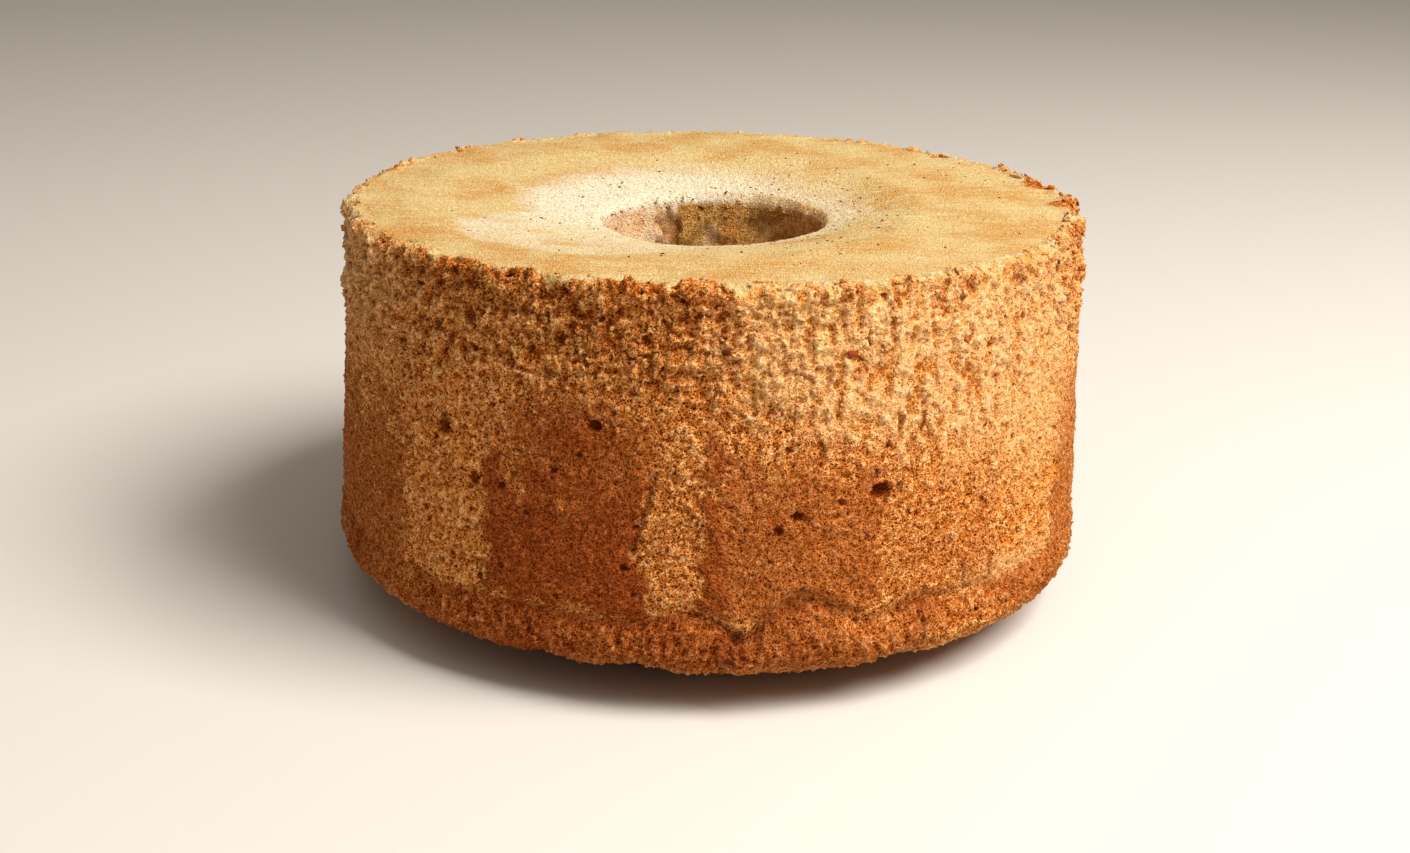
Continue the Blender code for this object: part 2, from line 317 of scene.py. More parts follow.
def stray(places, wave, seed, squeeze=(1, 1, 1)):
    """Smooth noise between about -1 and 1, whose waves are about wave millimetres long, and longer along an
    axis that is squeezed."""
    shifted = places * np.array(squeeze) / (wave * MM) + np.array((seed, seed * 0.7, -seed))
    return np.fromiter((noise.noise(place) for place in shifted.tolist()), float, len(shifted))


def strewn(angle, up, spacing, share, small, large, seed):
    """Round spots of random radius strewn over the side, 1 in a spot's middle and 0 at its edge. Each cell of
    the given spacing holds a spot with the chance that share gives."""
    period = round(360 * DEGREE / spacing)
    across, up = angle / 360 * period, up / spacing
    cell_x, cell_y = np.floor(across), np.floor(up)
    best = np.zeros(len(across))
    for step_x in (-1, 0, 1):
        for step_y in (-1, 0, 1):
            x, y = cell_x + step_x, cell_y + step_y
            key = np.mod(x, period) * 12.9898 + y * 78.233 + seed
            draws = [np.modf(np.abs(np.sin(key + turn * 37.719)) * 43758.5453)[0] for turn in range(4)]
            away = np.hypot(across - x - draws[0], up - y - draws[1]) * spacing
            size = small + (large - small) * draws[2]
            best = np.maximum(best, np.where(draws[3] < share, 1 - away / size, 0))
    return best


def side_radius(form, z):
    """The side's radius at a height, before any unevenness."""
    rise = np.sin(np.minimum(z / SHOULDER_HEIGHT, 1) * math.pi / 2)
    low = form.foot_radius + (form.widest_radius - form.foot_radius) * rise
    share = np.maximum(z - SHOULDER_HEIGHT, 0) / (form.height - SHOULDER_HEIGHT)
    return low + (form.top_radius - form.widest_radius) * share


def wall_radius(form, z):
    """The centre hole's radius at a height, before any unevenness."""
    taper = form.mouth_radius - form.hole_foot_radius
    return form.hole_foot_radius + taper * z / (form.height - form.dish_drop)


def arc(centre, radius, start, end):
    """The length of an arc and its points by their share of it, with angles from the outward axis."""

    def point(share):
        turn = math.radians(start + (end - start) * share)
        return centre[0] + radius * math.cos(turn), centre[1] + radius * math.sin(turn)

    return radius * math.radians(abs(end - start)), point


def straight(start, end):
    """The length of a straight line and its points by their share of it."""
    return math.dist(start, end), lambda share: [a + (b - a) * share for a, b in zip(start, end)]


def shoulder(form):
    """About the length of the side's lowest part, which curves in to the foot, and its points."""

    def point(share):
        z = SHOULDER_HEIGHT * (1 - math.sin(share * math.pi / 2))
        return float(side_radius(form, z)), z

    return math.hypot(form.widest_radius - form.foot_radius, SHOULDER_HEIGHT) * 1.1, point


def section(form):
    """Rows of (radius, height, zone): down the side, in under the foot, up the hole and out over the top."""
    rim_centre = (form.top_radius - RIM_ROUNDING, form.height - RIM_ROUNDING)
    foot_inside = form.hole_foot_radius + HOLE_FOOT_ROUNDING
    edge_inside = form.foot_radius - FOOT_EDGE
    hole_corner = (foot_inside, HOLE_FOOT_ROUNDING)
    wall_top = (float(wall_radius(form, form.height)), form.height - MOUTH_ROUNDING)
    mouth_centre = (wall_top[0] + MOUTH_ROUNDING, wall_top[1])
    stretches = (
        (SIDE, SIDE_ROW, arc(rim_centre, RIM_ROUNDING, 90, 0)),
        (SIDE, SIDE_ROW, straight((form.top_radius, rim_centre[1]), (form.widest_radius, SHOULDER_HEIGHT))),
        (SIDE, SIDE_ROW * 1.2, shoulder(form)),
        (SIDE, UNDERSIDE_ROW / 2, straight((form.foot_radius, 0), (edge_inside, 0))),
        (UNDERSIDE, UNDERSIDE_ROW, straight((edge_inside, 0), (foot_inside, 0))),
        (HOLE, HOLE_ROW, arc(hole_corner, HOLE_FOOT_ROUNDING, 270, 180)),
        (HOLE, HOLE_ROW, straight((form.hole_foot_radius, HOLE_FOOT_ROUNDING), wall_top)),
        (TOP, TOP_ROW, arc(mouth_centre, MOUTH_ROUNDING, 180, 90)),
        (TOP, TOP_ROW, straight((mouth_centre[0], form.height), (rim_centre[0], form.height))),
    )
    rows = []
    for zone, spacing, (length, point) in stretches:
        count = max(round(length / spacing), 2)
        rows += [(*point(step / count), zone) for step in range(count)]
    return rows


def deselect_all():
    """Leaves nothing selected, which the operators that follow rely on."""
    if bpy.context.mode != "OBJECT":
        bpy.ops.object.mode_set(mode="OBJECT")
    bpy.ops.object.select_all(action="DESELECT")


def turned_body(rows):
    """A closed ring of points laid along the section and screwed once round the axis."""
    deselect_all()
    bpy.ops.mesh.primitive_circle_add(vertices=len(rows), fill_type="NOTHING")
    body = bpy.context.object
    body.name = body.data.name = "cake_body"
    flat = np.array([(radius, 0, z) for radius, z, _ in rows])
    body.data.vertices.foreach_set("co", flat.ravel())
    for name, values in (("zone", [row[2] for row in rows]), ("row", range(len(rows)))):
        layer = body.data.attributes.new(name, "INT", "POINT")
        layer.data.foreach_set("value", list(values))
    turn = body.modifiers.new("turn", "SCREW")
    turn.axis = "Z"
    turn.angle = math.tau
    turn.steps = turn.render_steps = COLUMNS
    turn.use_merge_vertices = True
    turn.merge_threshold = 0.01 * MM
    bpy.ops.object.modifier_apply(modifier="turn")
    bpy.ops.object.mode_set(mode="EDIT")
    bpy.ops.mesh.select_all(action="SELECT")
    bpy.ops.mesh.normals_make_consistent(inside=False)
    bpy.ops.object.mode_set(mode="OBJECT")
    return body


def pull(items, name, width=1, kind=float):
    """A number of every item, or several, such as the places of a mesh's points, as an array."""
    values = np.empty(len(items) * width, dtype=kind)
    items.foreach_get(name, values)
    return values.reshape(-1, width) if width > 1 else values


def read(mesh, name):
    """A point attribute, or co or normal, as an array."""
    if name in ("co", "normal"):
        return pull(mesh.vertices, name, 3)
    layer = mesh.attributes[name]
    return pull(layer.data, "value", kind=float if layer.data_type == "FLOAT" else int)


def write(mesh, name, values):
    """Keeps an array as a float attribute of the points, for the materials."""
    if name not in mesh.attributes:
        mesh.attributes.new(name, "FLOAT", "POINT")
    mesh.attributes[name].data.foreach_set("value", np.ascontiguousarray(values, dtype=np.float32))


def place_points(mesh, places):
    """Moves all points of a mesh."""
    mesh.vertices.foreach_set("co", places.ravel())
    mesh.update()


def fold_level(angle, places):
    """The crease's height at an angle, in metres."""
    beside_loops = 1 - 0.8 * facing(angle, 14, 60)
    level = FOLD_LEVEL + FOLD_WAVE * beside_loops * stray(places, 30, 3, (1, 1, 0))
    for middle, half_width, lift in FOLD_LOOPS:
        level += lift * MM * facing(angle, middle, half_width)
    return level


def dish_edge(form, angle):
    """How far from the axis the dish's edge is at an angle."""
    turn = np.radians(angle)
    along = np.sin(turn) * DISH_CENTRE[0] - np.cos(turn) * DISH_CENTRE[1]
    off_centre = DISH_CENTRE[0] ** 2 + DISH_CENTRE[1] ** 2
    return along + np.sqrt(along**2 - off_centre + form.dish_radius**2)


def lip_wave(form, angle):
    """How far the hole's torn lip stands out from its circle at an angle."""
    turn = np.radians(angle)
    circle = np.stack([np.sin(turn), -np.cos(turn), 0 * turn], axis=1) * form.mouth_radius
    return (1.1 * stray(circle, 6, 45) + 0.3 * stray(circle, 2.4, 46)) * MM


def moved_out(places, share, z):
    """Places whose distance from the axis is multiplied by a share, at new heights."""
    return np.stack([places[:, 0] * share, places[:, 1] * share, z], axis=1)


def shape_top(form, places, angle, radius):
    """The top with the dish, the scraped unevenness and the ragged rim."""
    edge = dish_edge(form, angle)
    inner = form.mouth_radius + MOUTH_ROUNDING
    outer = form.top_radius - RIM_ROUNDING
    within = inner + (radius - inner) * (edge - inner) / (form.dish_radius - inner)
    beyond = edge + (radius - form.dish_radius) * (outer - edge) / (outer - form.dish_radius)
    moved = np.where(radius < form.dish_radius, within, beyond)
    moved = np.where((radius < inner) | (radius > outer), radius, moved)
    moved += lip_wave(form, angle) * smooth(1 - (radius - inner) / LIP_DEPTH_ON_TOP)
    inward = np.maximum(edge - moved, 0)
    step = DISH_STEP * facing(angle, -30, 70) * np.minimum(inward / DISH_STEP_WIDTH, 1)
    slope = np.minimum(inward / (edge - form.mouth_radius), 1)
    drop = step + (form.dish_drop - DISH_STEP) * slope**1.15
    near_rim = smooth((radius - form.top_radius * 0.88) / (form.top_radius * 0.1))
    uneven = 0.3 * stray(places, 14, 11) + 0.72 * stray(places, 7, 17) * near_rim
    return moved_out(places, moved / radius, places[:, 2] + uneven * MM - drop)


def shape_side(form, places, angle, radius):
    """The side with the fold, the roll, the gaps under the foot and its larger unevenness."""
    z = places[:, 2]
    crease = fold_level(angle, places)
    low = z + (crease - FOLD_LEVEL) * smooth((z - FOLD_STILL) / (FOLD_LEVEL - FOLD_STILL))
    high = crease + (z - FOLD_LEVEL) * (form.height - crease) / (form.height - FOLD_LEVEL)
    level = np.where(z < FOLD_LEVEL, low, high)
    foot_share = 1 - np.sin(np.minimum(z / SHOULDER_HEIGHT, 1) * math.pi / 2)
    shown = 0.35 + 0.65 * facing(angle, 15, 60)
    clear_of_foot = smooth(z / (SHOULDER_HEIGHT * 0.6))
    near_rim = smooth((z - form.height * 0.88) / (form.height * 0.1))
    move = FOOT_SPREAD * np.sin(np.radians(angle)) ** 2 * foot_share
    move -= CREASE_DEPTH * shown * bump(level - crease, CREASE_WIDTH * 2)
    move += ROLL_BULGE * shown * bump(level - crease * 0.5, crease * 0.5)
    uneven = (0.7 * stray(places, 60, 23) + 0.45 * stray(places, 5.5, 29)) * clear_of_foot
    move += (uneven + 1.2 * stray(places, 7, 31) * near_rim) * MM
    for middle, half_width, lift in FOOT_GAPS:
        level += lift * MM * facing(angle, middle, half_width) * np.maximum(1 - z / SHOULDER_HEIGHT, 0)
    return moved_out(places, 1 + move / radius, level)


def shape_wall(form, places, angle, radius):
    """The hole's wall, which stops at the dish's bottom and is lumpy."""
    z = places[:, 2]
    inside = smooth(bump(z - form.height / 2, form.height / 2) * 3)
    move = (1.6 * stray(places, 11, 41) + 2.2 * stray(places, 5, 43)) * inside * MM
    move += lip_wave(form, angle) * smooth((z - form.height) / LIP_DEPTH_IN_HOLE + 1)
    for middle, half_width, height, half_height, depth in WALL_LUMPS:
        move -= depth * MM * facing(angle, middle, half_width) * bump(z / MM - height, half_height)
    return moved_out(places, 1 + move / radius, z * (1 - form.dish_drop / form.height))


def shape_forms(form, body):
    """Moves the turned points to the cake's larger forms, and stands it where the solid stands."""
    places = read(body.data, "co")
    zone = read(body.data, "zone")
    angle = np.degrees(np.arctan2(places[:, 0], -places[:, 1]))
    radius = np.hypot(places[:, 0], places[:, 1])
    mouth = (zone == TOP) & (radius < form.mouth_radius + MOUTH_ROUNDING - 0.01 * MM)
    shaped = places.copy()
    for part, shape in (
        (zone == SIDE, shape_side),
        ((zone == HOLE) | mouth, shape_wall),
        ((zone == TOP) & ~mouth, shape_top),
    ):
        shaped[part] = shape(form, places[part], angle[part], radius[part])
    middle = (shaped.min(axis=0) + shaped.max(axis=0)) / 2
    middle[2] = shaped[:, 2].min()
    place_points(body.data, shaped - middle)
    write(body.data, "angle", angle)
    over_rim = form.height - places[:, 2] - np.maximum(form.top_radius - radius, 0)
    write(body.data, "down", np.where(zone == TOP, radius - form.top_radius, over_rim))


class Surface:
    """The points of some pieces as arrays: places and normals as in the mesh, the marks asked for, and in
    degrees and millimetres the angle, height, distance from the axis and way down from the rim. That is below
    0 on the top."""

    def __init__(self, pieces, marks=()):
        meshes = [bpy.data.objects[piece].data for piece in pieces]
        names = ("co", "normal", "zone", "angle", "down", *marks)
        joined = (np.concatenate([read(mesh, name) for mesh in meshes]) for name in names)
        self.places, self.normals, zone, self.angle, down, *values = joined
        self.marks = dict(zip(marks, values))
        self.z = self.places[:, 2] / MM
        self.radius = np.hypot(self.places[:, 0], self.places[:, 1]) / MM
        self.down = down / MM
        zones = (SIDE, UNDERSIDE, HOLE, TOP)
        self.side, self.underside, self.hole, self.top = (zone == part for part in zones)

    @cached_property
    def fold(self):
        """The crease's height at each point's angle."""
        return fold_level(self.angle, self.places) / MM

    @cached_property
    def uneven(self):
        """Coarse, medium and fine noise, a ragged line's offset in millimetres, and a torn edge's."""
        coarse, medium, fine = (stray(self.places, wave, 51) for wave in (16, 5, 1.7))
        return coarse, medium, fine, 1.6 * medium + 1.5 * fine, 0.9 * medium + 0.6 * fine

    @cached_property
    def calm(self):
        """1 where the rim is even, at the left and behind, and 0 where it is ragged."""
        return np.maximum(smooth((-46 - self.angle) / 10), smooth((self.angle - 112) / 15))

    def facing(self, middle, half_width, offset=0):
        """1 at an angle, falling softly to 0 at half_width from it."""
        return facing(self.angle + offset, middle, half_width)

    def turned_away(self, start, span):
        """0 in front, and from start rising over span to 1 behind."""
        return smooth((np.abs(self.angle) - start) / span)

    def above(self, height, span, offset=0):
        """0 below a height, rising over span to 1, or with a negative span 0 above it."""
        return smooth((self.z - height) / span + offset)

    def near(self, height, half_height):
        """1 at a height, falling softly to 0 at half_height from it."""
        return bump(self.z - height, half_height)

    def below_rim(self, start, span):
        """0 up to a way down from the rim, rising over span to 1."""
        return smooth((self.down - start) / span)


def set_group(body, name, weights):
    """A point group with a weight for each point, in WEIGHT_STEPS steps."""
    group = body.vertex_groups.new(name=name)
    steps = np.round(np.clip(weights, 0, 1) * WEIGHT_STEPS).astype(int)
    for step in range(1, WEIGHT_STEPS + 1):
        chosen = np.flatnonzero(steps == step)
        if len(chosen):
            group.add(chosen.tolist(), step / WEIGHT_STEPS, "REPLACE")


def patch_of_side(at, left, right, low, high, soft, strength):
    """1 inside a patch of the side, with a ragged foot and sides and a torn, dissolving head."""
    coarse, _, _, ragged, torn = at.uneven
    stagger = 1.6 * ragged + 1.2 * coarse
    within = np.minimum(turned_by(at.angle, left), -turned_by(at.angle, right)) * DEGREE
    upright = at.above(high, -24, 0.5 + 0.55 * torn) * at.above(low, 2, 0.5 + 0.5 * stagger)
    return strength * smooth((within + stagger) / soft + 0.5) * upright


def browned_skin(at):
    """How much of the browned skin is left on the side, the roll, the hole's wall and the underside."""
    coarse, medium, fine, ragged, _ = at.uneven
    around = 0.32 * smooth(at.facing(4, 52) * 2) + 0.2 * at.facing(-16, 22)
    around += 0.25 * at.turned_away(90, 20) + 0.5 * at.facing(-19, 20) * at.near(58, 20)
    thin = 1 - at.facing(-39.5, 9) - 0.2 * at.facing(-4, 5)
    skin = around * at.above(76, -22) * thin
    for patch in SKIN_PATCHES:
        skin = np.maximum(skin, patch_of_side(at, *patch))
    roll = at.above(at.fold, -0.8, 0.5 + 0.5 * ragged) * at.above(0, 5)
    skin = np.maximum(skin, roll * (0.6 + 0.4 * coarse + 0.4 * at.facing(-22, 24)))
    in_hole = 0.8 * smooth(1.6 * medium + 0.4 * fine)
    return at.side * skin + at.hole * in_hole + at.underside * 0.8


def torn_crumb(at, skin):
    """The crust near the rim, the pale torn crumb and the pits where crumb was pulled off."""
    coarse, medium, fine, ragged, torn = at.uneven
    behind = at.turned_away(96, 30)
    right = smooth((at.angle + 6) / 16) * smooth((78 - at.angle) / 16)
    streaks = stray(at.places, 2.3, 57, (1, 1, 0.2)) + 0.3 * fine
    clumps = smooth((-streaks - 0.05) / 0.25)
    under_rim = at.above(70, 14) * (0.7 * behind + 0.8 * at.facing(36, 30))
    torn_zone = np.maximum(at.facing(16, 21) * at.above(56, 16), under_rim)
    pits = smooth((streaks - 0.07) / 0.2) * torn_zone * at.side

    band = at.above(62, 14) * (1 - 0.75 * right) * (1 - 0.8 * at.calm)
    rust = band * (0.5 + 0.5 * torn + 0.5 * clumps) + clumps * torn_zone * 0.25
    rust += smooth((6 - at.down + 2 * ragged) / 6) * (0.6 - 0.45 * at.calm)
    rust *= 1 - 0.5 * at.facing(-54, 34)
    rust = np.clip(rust, 0, 1) * (at.side | at.top) * (1 - pits) * at.below_rim(-12, 4)

    head = at.above(62 - 0.55 * np.clip(at.angle, 0, 50), 16, 0.4 * medium)
    pale = head * (0.8 * right + behind * (0.35 + 0.5 * coarse)) + at.facing(49, 17) * at.near(22.5, 4.5)
    pale += 0.8 * at.facing(-74, 36) * at.above(50, 26)
    pale = np.clip(np.maximum(pale * (1 - 0.6 * rust), pits), 0, 1) * at.side * (1 - 0.7 * skin)
    return rust, pale, pits


def golden_skin(at):
    """The top's golden skin with its ragged edge at the rim, and apart from it its tongues over the side."""
    _, medium, fine, _, _ = at.uneven
    line = 6.5 * stray(at.places, 6.5, 77, (1, 1, 0)) + 3 * medium + 1.8 * fine - 1.8 + 1.6 * at.calm
    line += 2.2 * at.facing(-24, 8) + 0.8 * at.facing(-45, 14) + 1.5 * at.facing(60, 30)
    golden = smooth((line - at.down) / 0.9 + 0.5) * (at.side | at.top)
    tongue = golden * at.side * at.below_rim(0.5, 1.5) * (1 - at.turned_away(96, 30))
    return golden - tongue, tongue


def cream_crumb(at):
    """Where the top's skin came off and bares the cream crumb."""
    coarse, medium, fine, _, _ = at.uneven
    angles, *columns = np.array(CREAM_REACH).T
    edge, soft, strength = (np.interp(at.angle, angles, column) for column in columns)
    cream = strength * smooth((edge - at.radius + 1.8 * medium + 1.2 * coarse + 0.6 * fine) / soft)
    for x, y, size in GOLDEN_SPOTS:
        away = np.hypot(at.places[:, 0] / MM - x, at.places[:, 1] / MM - y)
        cream *= 1 - 0.75 * smooth(1.4 - away / size + 0.7 * medium)
    return cream * at.top


def finish_hole(form, at, marks):
    """The hole: olive-brown behind, bare and creamy at its left, golden at its lip and shaded at its right."""
    coarse, medium, fine, _, _ = at.uneven
    inside = at.hole | (at.top & (at.radius < 0.5 * form.top_radius / MM))
    bare = smooth(1.5 * at.facing(-100, 76) + 0.9 * medium + 0.4 * fine) * at.above(36, 26)
    olive = (1 - 0.6 * bare) * (0.9 + 0.5 * coarse + 0.5 * medium) * at.facing(180, 110)
    tan = 0.1 * at.facing(-78, 46) * at.above(30, 40)
    tan += 0.14 * at.facing(-26, 42) * at.above(66, 12)
    lip = 0.7 * at.above(78.5, 5, 0.8 * medium) * (1 - at.facing(115, 75))
    shaded = at.facing(112, 80) * smooth((form.mouth_radius / MM + 3.5 - at.radius) / 3)
    marks["wall"] = inside * olive + at.side * tan
    marks["pale"] = np.where(inside, 0.3 + 0.6 * coarse + 0.5 * medium, marks["pale"])
    marks["pits"] = np.where(inside, 0.5 * bare, marks["pits"])
    marks["golden"] = np.where(at.hole, 0.45 * bare + 0.1 * medium + lip, marks["golden"])
    marks["cream"] = np.where(at.hole, smooth(2.2 * bare), marks["cream"])
    marks["golden"] *= 1 - 0.5 * shaded
    marks["cream"] *= 1 - 0.8 * shaded


def crease_and_shadow(at):
    """The dark line under the fold, partly darker skin and partly painted shade, which shows most at the front,
    and a painted shadow in the V below the fold at the front.
    """
    _, medium, _, ragged, torn = at.uneven
    shown = (0.3 + 0.7 * at.facing(12, 40)) * (0.75 + 0.9 * medium)
    line = at.near(at.fold - 0.7 - 0.6 * ragged, 1.2) * shown
    notch_shadow = at.facing(3.6, 3.4, 2 * torn) * at.near(14.5, 5.5)
    return np.maximum(line, smooth(2 * notch_shadow)) * at.side


def mark_finish(form, body):
    """Marks where the surface is skin, crust, torn and pale, golden or cream, as attributes from 0 to 1."""
    at = Surface([body.name])
    skin = browned_skin(at)
    rust, pale, pits = torn_crumb(at, skin)
    golden, tongue = golden_skin(at)
    marks = {
        "skin": skin,
        "rust": rust * (1 - tongue),
        "pale": pale,
        "pits": np.maximum(pits, tongue),
        "golden": golden,
        "cream": cream_crumb(at),
        # Partly darker skin along the fold, partly painted shade in it, and a painted shadow in the V below it
        "crease": crease_and_shadow(at),
    }
    finish_hole(form, at, marks)
    for name, values in marks.items():
        write(body.data, name, np.clip(values, 0, 1))


def dig_air_holes(at, ragged):
    """How deep each point of the side lies in one of the larger air holes, in millimetres."""
    sunk = np.zeros(len(at.z))
    for middle, height, wide, tall, depth in AIR_HOLES:
        across = turned_by(at.angle, middle) * DEGREE / (wide / 2)
        away = np.maximum(np.hypot(across, (at.z - height) / (tall / 2)) + ragged, 0)
        sunk = np.maximum(sunk, depth * np.sqrt(np.clip(1 - away**2, 0, 1)))
    return sunk * at.side


def cut_grooves(at, torn):
    """How deep each point of the side lies in a crack or groove, in millimetres. Across is the real part of a
    place, and up is the imaginary one."""
    place = turned_by(at.angle + 0.35 * torn, 0) * DEGREE + 1j * at.z
    cut = np.zeros(len(place))
    for points, half_width, depth in GROOVES:
        corners = [turn * DEGREE + 1j * height for turn, height in points]
        for start, end in zip(corners, corners[1:]):
            share = np.clip(((place - start) / (end - start)).real, 0, 1)
            cut = np.maximum(cut, depth * bump(place - start - share * (end - start), half_width))
    return cut * at.side


def open_gaps_with_shade(at, torn):
    """Gaps between the lumps of the hole's wall, most of them beside the large lump, sunk and darkened with
    painted shade, with painted shade also on the wall right of the lump.
    """
    gaps = smooth(2.2 * stray(at.places, 4.6, 47) + 0.9 * torn - 0.1)
    gaps *= at.near(56, 36) * (1 - 0.7 * at.facing(-104, 60))
    shade_behind_lump = at.facing(-155, 9, 8 * torn) * at.near(68, 16)
    shade_right_of_lump = at.facing(132, 52, 8 * torn) * at.above(72, -5, 0.8 * torn)
    return np.maximum(gaps, smooth(2 * np.maximum(shade_behind_lump, 0.6 * shade_right_of_lump))) * at.hole


def curled(at, torn, push, wave, seed):
    """Noise whose crests are sharp and curl, as torn flakes do."""
    return 0.6 - 2.4 * np.abs(stray(at.places + push * torn[:, None] * MM, wave, seed))


def displace(body, name, kind, strength, group, **settings):
    """One layer of relief: a texture that moves the points along their normals, weighted by a point group."""
    texture = bpy.data.textures.new(name, kind)
    for key, value in settings.items():
        setattr(texture, key, value)
    layer = body.modifiers.new(name, "DISPLACE")
    layer.texture = texture
    layer.texture_coords = "LOCAL"
    layer.direction = "NORMAL"
    layer.strength = strength
    layer.mid_level = 0.5
    layer.vertex_group = group
    bpy.context.view_layer.objects.active = body
    bpy.ops.object.modifier_apply(modifier=name)


def raise_crumb(form, body, bare, normals):
    """The crumb by displacement, where it is bare. Gives how far that moved each point along its normal."""
    set_group(body, "bare", bare)
    before = read(body.data, "co")
    cells = form.crumb_size * 1.4
    displace(body, "cells", "VORONOI", 0.75 * MM, "bare", noise_scale=cells, noise_intensity=1)
    displace(
        body, "curls", "DISTORTED_NOISE", 0.55 * MM, "bare", noise_scale=1.15 * MM, distortion=1.6,
        noise_basis="ORIGINAL_PERLIN", noise_distortion="BLENDER_ORIGINAL",
    )
    displace(body, "grain", "CLOUDS", 0.14 * MM, "", noise_scale=0.8 * MM, noise_depth=0)
    return ((read(body.data, "co") - before) * normals).sum(axis=1) / MM


def roughen(form, body):
    """The relief: torn flakes, slots, pits, pores and cracks by rule, then the crumb by displacement, and the
    marks through which its ridges take a painted highlight and its hollows painted shade.
    """
    mesh = body.data
    at = Surface([body.name], ("skin", "rust", "pale", "pits", "golden", "cream"))
    skin, rust, pale, pits, golden, cream = at.marks.values()
    ragged = 1 - 0.8 * at.calm
    torn = 0.8 * stray(at.places, 3.4, 67) + 0.5 * stray(at.places, 1.5, 69)
    roll = at.above(at.fold, -2) * at.above(0, 3) * at.side
    open_side = at.below_rim(1, 2) * (1 - roll) * at.side
    streaked = at.facing(30, 48) * at.above(46, 14) * at.side
    flaky = at.above(58, 14) * (1 - 0.7 * golden) * (1 - 0.8 * streaked) * at.side

    drawn = 0.6 * stray(at.places, 1.1, 73, (1, 1, 0.3)) * (roll + 0.5 * flaky)
    slots = (0.4 - smooth(2.6 * stray(at.places, 1.7, 79, (1, 1, 0.33)))) * streaked
    ridges = curled(at, torn, 0.8, 2.5, 83) * flaky
    curls = curled(at, torn, 0.5, 1.4, 85) * (1 - 0.85 * skin) * (1 - 0.5 * pale) * open_side
    scratched = at.top * smooth((at.places[:, 0] / MM + 20) / 40)
    scratches = stray(at.places, 0.9, 71, (0.16, 1, 1)) * scratched
    pores = strewn(at.angle + 0.5 * torn, at.z + 0.7 * torn, 6.5, 0.24, 0.4, 1, 21)
    pinholes = strewn(at.angle + 0.3 * torn, at.z, 2.1, 0.55, 0.35, 0.62, 23)
    holes, grooves, gaps = dig_air_holes(at, 0.3 * torn), cut_grooves(at, torn), open_gaps_with_shade(at, torn)

    move = (0.3 * skin + 0.1 * pits + 0.4 * rust * (1 - 0.7 * streaked)) * at.side + 1.3 * torn * flaky
    move += 0.8 * ridges + 0.3 * curls + drawn + 0.6 * slots + 0.4 * torn * roll + 0.1 * scratches
    move += (0.35 * (1 - golden) * bump(at.down + 1, 5) + 0.5 * torn * bump(at.down, 4)) * ragged
    move -= (0.9 * smooth(1.6 * pores) + 0.3 * smooth(1.5 * pinholes) * (1 - 0.5 * skin)) * open_side
    move -= 0.3 * at.near(at.fold + 1.2 * torn, 1) * at.facing(12, 60) * at.side
    move -= holes + grooves + 1.3 * gaps
    place_points(mesh, at.places + at.normals * (move * MM)[:, None])

    sunk = smooth(holes)
    bare = at.side * (1 - 0.5 * skin * (1 - roll)) * (1 - 0.6 * golden) + at.top * (0.12 + 0.25 * cream)
    bare = np.maximum(bare, 0.6 * bump(at.down, 3.5) * ragged) * at.above(0, 2)
    # The relief mark drives the colour too: a painted highlight where it is high, painted shade where it is
    # low, and it is lowered in the air holes for painted shade there
    relief = raise_crumb(form, body, bare * (1 - sunk), at.normals)
    relief -= bare * (relief * bare).sum() / (bare**2).sum()
    flakes = torn * (0.4 * (1 - streaked) * at.side + 0.6 * flaky) + 0.8 * ridges + 0.6 * curls
    relief += 0.65 * drawn + 0.7 * slots + 0.5 * flakes * (1 - 0.6 * skin) - 0.8 * sunk
    # Painted shade: pores, pinholes, air holes, cracks and the gaps of the hole's wall are darkened through
    # this mark, and the gaps also through the crease mark
    dark = (0.7 * smooth(1.8 * pores) + 0.3 * smooth(1.6 * pinholes)) * open_side
    write(mesh, "relief", relief)
    write(mesh, "pore", np.clip(dark + 0.7 * sunk + 0.6 * grooves + 0.8 * gaps, 0, 1))
    write(mesh, "crease", np.maximum(read(mesh, "crease"), 0.9 * gaps))


def past_seam(corners, first, period):
    """Values at the four corners of faces, with those below first moved on where a face crosses the seam."""
    crosses = np.ptp(corners, axis=1, keepdims=True) > period / 2
    return np.where(crosses & (corners < first), corners + period, corners)


def lay_map(body):
    """A map that follows the surface: across by angle, up by row, one turn and one section each."""
    mesh = body.data
    points = pull(mesh.loops, "vertex_index", kind=int)
    rows = read(mesh, "row").astype(float)
    count = rows.max() + 1
    across = past_seam(read(mesh, "angle")[points].reshape(-1, 4), 0, 360)
    along = past_seam(rows[points].reshape(-1, 4), 1, count)
    layer = mesh.uv_layers.get("OFBake") or mesh.uv_layers.new(name="OFBake")
    layer.data.foreach_set("uv", np.stack([across / 360 + 0.5, along / count], axis=-1).ravel())


def fit_map(piece):
    """Spreads a piece's part of the map over the whole square."""
    layer = piece.data.uv_layers["OFBake"]
    values = pull(layer.data, "uv", 2)
    low, high = values.min(axis=0), values.max(axis=0)
    layer.data.foreach_set("uv", (0.01 + 0.98 * (values - low) / (high - low)).ravel())


def at_faces(mesh, name):
    """A point attribute as it is at the first corner of each face."""
    starts = pull(mesh.polygons, "loop_start", kind=int)
    return read(mesh, name)[pull(mesh.loops, "vertex_index", kind=int)[starts]]


def split_off(body, name, chosen):
    """Separates the chosen faces as a piece of their own."""
    deselect_all()
    body.select_set(True)
    bpy.context.view_layer.objects.active = body
    bpy.context.tool_settings.mesh_select_mode = (False, False, True)
    body.data.polygons.foreach_set("select", np.ascontiguousarray(chosen))
    bpy.ops.object.mode_set(mode="EDIT")
    bpy.ops.mesh.separate(type="SELECTED")
    bpy.ops.object.mode_set(mode="OBJECT")
    piece = next(thing for thing in bpy.context.selected_objects if thing is not body)
    piece.name = piece.data.name = name
    return piece


